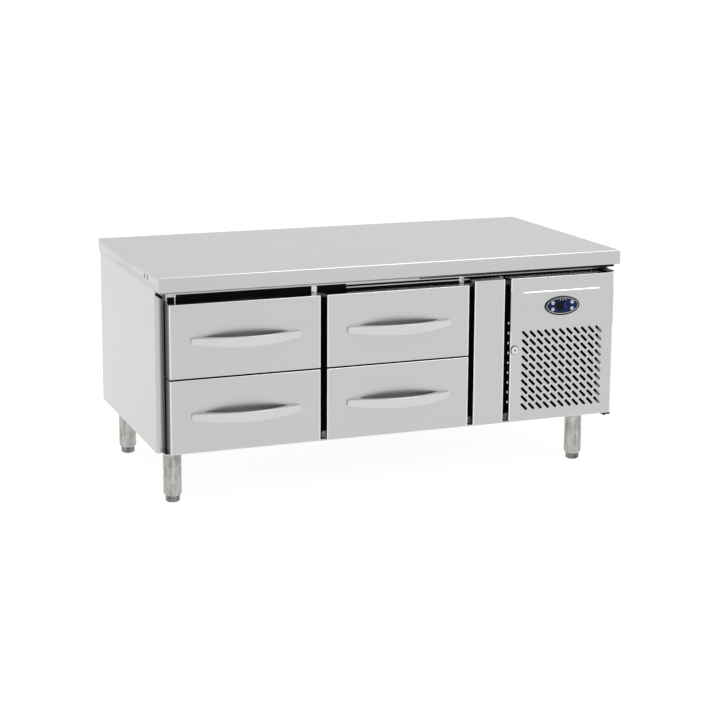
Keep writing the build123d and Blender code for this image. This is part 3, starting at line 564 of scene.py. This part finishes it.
def addDisc(shape, radiusX, radiusZ, middle, height, steps=48):
    # an oval plate that stands proud of the face by its height, with a rounded rim
    rim = faceCircle(shape, radiusX, radiusZ, middle, steps)
    face = bmesh.ops.contextual_create(shape, geom=edgesOf(rim))["faces"]
    grown = bmesh.ops.extrude_face_region(shape, geom=face)["geom"]
    lid = [part for part in grown if isinstance(part, bmesh.types.BMFace)]
    corners = [part for part in grown if isinstance(part, bmesh.types.BMVert)]
    bmesh.ops.translate(shape, verts=corners, vec=(0.0, -height, 0.0))
    edges = [side for plate in lid for side in plate.edges]
    bmesh.ops.bevel(
        shape, geom=edges, offset=height * 0.6, offset_type="OFFSET", segments=3,
        profile=0.5, affect="EDGES", material=-1,
    )
    bmesh.ops.recalc_face_normals(shape, faces=shape.faces)


def addRing(shape, outside, inside, height):
    # a thin ring between two ovals, each given as two radii and a middle
    loops = [faceCircle(shape, *oval) for oval in (outside, inside)]
    flat = bmesh.ops.bridge_loops(shape, edges=[side for loop in loops for side in edgesOf(loop)])["faces"]
    grown = bmesh.ops.extrude_face_region(shape, geom=flat)["geom"]
    corners = [part for part in grown if isinstance(part, bmesh.types.BMVert)]
    bmesh.ops.translate(shape, verts=corners, vec=(0.0, -height, 0.0))
    bmesh.ops.recalc_face_normals(shape, faces=shape.faces)


def makeController(look):
    bezelLow, bezelHigh = span("controller_bezel")
    middle = (bezelLow + bezelHigh) / 2
    half = (bezelHigh - bezelLow) / 2
    blueFront = bezelLow.y + look["faceDepth"]
    glassBack = bezelLow.y + look["glassDepth"]
    ring = bmesh.new()
    centre = Vector((middle.x, blueFront, middle.z))
    outside, inside = [(half.x - step, half.z - step, centre) for step in look["ringIn"]]
    addRing(ring, outside, inside, look["ringHeight"])
    newPiece("controller_ring", ring, ringSilver, "door")

    glass = bmesh.new()
    addDisc(glass, *look["glassSize"], Vector((middle.x, glassBack, middle.z)), look["glassHeight"])
    newPiece("display_glass", glass, lensGlass, "door")
    glassFront = glassBack - look["glassHeight"]

    digit = bmesh.new()
    wide = look["digitWidth"] / 2
    tall = look["digitHeight"] / 2
    places = {
        "a": (0.0, tall, True), "g": (0.0, 0.0, True), "d": (0.0, -tall, True),
        "f": (-wide, tall / 2, False), "b": (wide, tall / 2, False),
        "e": (-wide, -tall / 2, False), "c": (wide, -tall / 2, False),
    }
    for letter in look["segments"]:
        x, z, level = places[letter]
        stroke = look["digitStroke"] / 2
        long = (wide if level else tall / 2) - stroke * 0.6
        reach = Vector((long, 0.0, stroke)) if level else Vector((stroke, 0.0, long))
        centre = Vector((x, 0.0, z))
        low = centre - reach - Vector((0.0, look["proud"], 0.0))
        addBar(digit, low, centre + reach, look["proud"] * 0.9)
    lean = Matrix.Identity(4)
    lean[0][2] = math.tan(math.radians(look["digitLean"]))
    seat = Matrix.Translation((middle.x + look["digitPlace"], glassFront, middle.z))
    bmesh.ops.transform(digit, matrix=seat @ lean, verts=digit.verts)
    newPiece("display_digit", digit, digitGlow, "door")

    lamps = bmesh.new()
    for x in look["lampPlaces"]:
        place = Vector((middle.x + x, blueFront, middle.z + look["lampRise"]))
        addDisc(lamps, look["lampSize"], look["lampSize"] * 1.4, place, look["proud"], 12)
    newPiece("status_lamps", lamps, lampGlow, "door")

    for corner in ("lower_left", "upper_left", "lower_right", "upper_right"):
        low, high = span("controller_button_" + corner)
        mark = bmesh.new()
        place = Vector(((low.x + high.x) / 2, low.y, (low.z + high.z) / 2))
        addDisc(mark, look["markSize"], look["markSize"] * 0.8, place, look["proud"], 16)
        newPiece("button_mark_" + corner, mark, buttonInk, "button_" + corner)


# Stud heads on the door's left flange, made to glow: a painted glint
studLook = {
    "count": 9,
    "lowest": 0.212,
    "highest": 0.441,
    "fromFront": 0.014,
    "radius": 0.0034,
    "height": 0.0012,
}


def makeStuds(look):
    door = span("door_panel")
    shape = bmesh.new()
    for count in range(look["count"]):
        z = look["lowest"] + count * (look["highest"] - look["lowest"]) / (look["count"] - 1)
        place = Matrix.Translation((door[0].x, door[0].y + look["fromFront"], z))
        squash = Matrix.Diagonal((look["height"], look["radius"], look["radius"], 1.0))
        bmesh.ops.create_icosphere(shape, subdivisions=2, radius=1.0, matrix=place @ squash)
    newPiece("door_studs", shape, studPaintedGlint, "door")


# A dark ring around the lock, shifted up and left: a painted shade crescent; and its key hole
lockLook = {
    "place": (0.353, 0.364),
    "shadeRing": (0.0117, 0.0129),      # inner and outer radius
    "shadeRingShift": (-0.0008, 0.0008),
    "keyHole": 0.0026,
    "proud": 0.0002,
}


def makeLockDetails(look):
    lock = span("door_lock")
    door = span("door_panel")
    x, z = look["place"]
    shiftX, shiftZ = look["shadeRingShift"]
    shadeRing = bmesh.new()
    small, large = look["shadeRing"]
    outside = (large, large, Vector((x + shiftX, door[0].y, z + shiftZ)))
    addRing(shadeRing, outside, (small, small, Vector((x, door[0].y, z))), look["proud"])
    newPiece("lock_shade_ring", shadeRing, deepBlack, "door")
    hole = bmesh.new()
    addDisc(hole, look["keyHole"], look["keyHole"], Vector((x, lock[0].y, z)), look["proud"], 20)
    newPiece("lock_key_hole", hole, deepBlack, "lock")


# Screws through the worktop's left lip: a black disc as painted shade of the recess, with a bright pin in it
lipScrewLook = {
    "places": ((-0.215, 0.6175), (-0.183, 0.6175)),
    "recess": 0.006,
    "pin": 0.0029,
    "proud": 0.0004,
}


def makeLipScrews(look):
    side = span("worktop")[0].x
    for name, radius, height, material, slot in (
        ("lip_screw_recesses", look["recess"], look["proud"], deepBlack, "black_paint"),
        ("lip_screw_pins", look["pin"], 2 * look["proud"], studMetal, "stainless"),
    ):
        shape = bmesh.new()
        for y, z in look["places"]:
            place = Matrix.Translation((side, y, z)) @ Matrix.Diagonal((height, radius, radius, 1.0))
            bmesh.ops.create_icosphere(shape, subdivisions=3, radius=1.0, matrix=place)
        newPiece(name, shape, material, "cabinet")


print("gap strips, controller, studs and screws")
makeGapStrips(stripLook)
makeController(controllerLook)
makeStuds(studLook)
makeLockDetails(lockLook)
makeLipScrews(lipScrewLook)


# Camera where the photograph was taken from
cameraView = {
    "place": (-1.79298, -4.64702, 1.44969),    # metres
    "turn": (79.8877, -0.3119, -21.1243),      # degrees
    "lens": 86.9119,                           # millimetres
    "sensor": 36.0,
    "shift": -0.125,                           # the photograph's uprights hardly lean
}


def makeCamera(view):
    data = bpy.data.cameras.new("camera")
    data.lens = view["lens"]
    data.sensor_width = view["sensor"]
    data.shift_y = view["shift"]
    data.clip_end = 200.0
    camera = bpy.data.objects.new("camera", data)
    camera.location = view["place"]
    camera.rotation_euler = [math.radians(angle) for angle in view["turn"]]
    bpy.context.scene.collection.objects.link(camera)
    bpy.context.scene.camera = camera


# Studio: an even pale room, and a white background that cameras, metal and glass all see
studio = {
    "floorSize": 60.0,
    "roomLight": 0.85,
    "floorGlow": 0.9,
    "floorTone": 0.8,         # for the light that the floor throws back
    "shadowTone": 0.2,        # how much of the lamps and shadow shows on it
}


def seesBackground(shader):
    rays = [
        shader.node("LightPath", {}, {}, output=f"Is {kind} Ray")
        for kind in ("Camera", "Glossy", "Transmission")
    ]
    return rays[0].atLeast(rays[1]).atLeast(rays[2])


def makeWorld(look):
    world = bpy.data.worlds.new("studio")
    bpy.context.scene.world = world
    world.use_nodes = True
    shader = Shader(world.node_tree)
    room = shader.node("Background", {}, {"Color": grey(1.0), "Strength": look["roomLight"]})
    backdrop = shader.node("Background", {}, {"Color": grey(1.0), "Strength": 1.0})
    both = shader.node("MixShader", {}, {0: seesBackground(shader), 1: room, 2: backdrop})
    shader.node("OutputWorld", {}, {"Surface": both})


def makeFloor(look):
    mesh = bpy.data.meshes.new("floor")
    shape = bmesh.new()
    bmesh.ops.create_grid(shape, x_segments=1, y_segments=1, size=look["floorSize"] / 2)
    shape.to_mesh(mesh)
    shape.free()
    floor = bpy.data.objects.new("floor", mesh)
    bpy.context.scene.collection.objects.link(floor)
    material, shader = newMaterial("paleFloor")
    pale = shader.node("BsdfDiffuse", {}, {"Color": grey(look["floorTone"])})
    shadowed = shader.node("BsdfDiffuse", {}, {"Color": grey(look["shadowTone"])})
    white = shader.node("Emission", {}, {"Color": grey(1.0), "Strength": look["floorGlow"]})
    shown = shader.node("AddShader", {}, {0: shadowed, 1: white})
    both = shader.node("MixShader", {}, {0: seesBackground(shader), 1: pale, 2: shown})
    shader.node("OutputMaterial", {}, {"Surface": both})
    mesh.materials.append(material)


softBoxes = {
    "keyBox": {"place": (1.6, -2.6, 3.4), "aim": (0.0, 0.0, 0.4), "size": (2.0, 2.0), "power": 30.0},
}


def makeLamps(boxes):
    for name, look in boxes.items():
        data = bpy.data.lights.new(name, "AREA")
        data.shape = "RECTANGLE"
        data.size, data.size_y = look["size"]
        data.energy = look["power"]
        lamp = bpy.data.objects.new(name, data)
        aim = Vector(look["aim"]) - Vector(look["place"])
        lamp.location = look["place"]
        lamp.rotation_euler = aim.to_track_quat("-Z", "Y").to_euler()
        bpy.context.scene.collection.objects.link(lamp)


print("camera, floor and lamps")
makeCamera(cameraView)
makeWorld(studio)
makeFloor(studio)
makeLamps(softBoxes)
bpy.context.scene.view_settings.view_transform = "Standard"
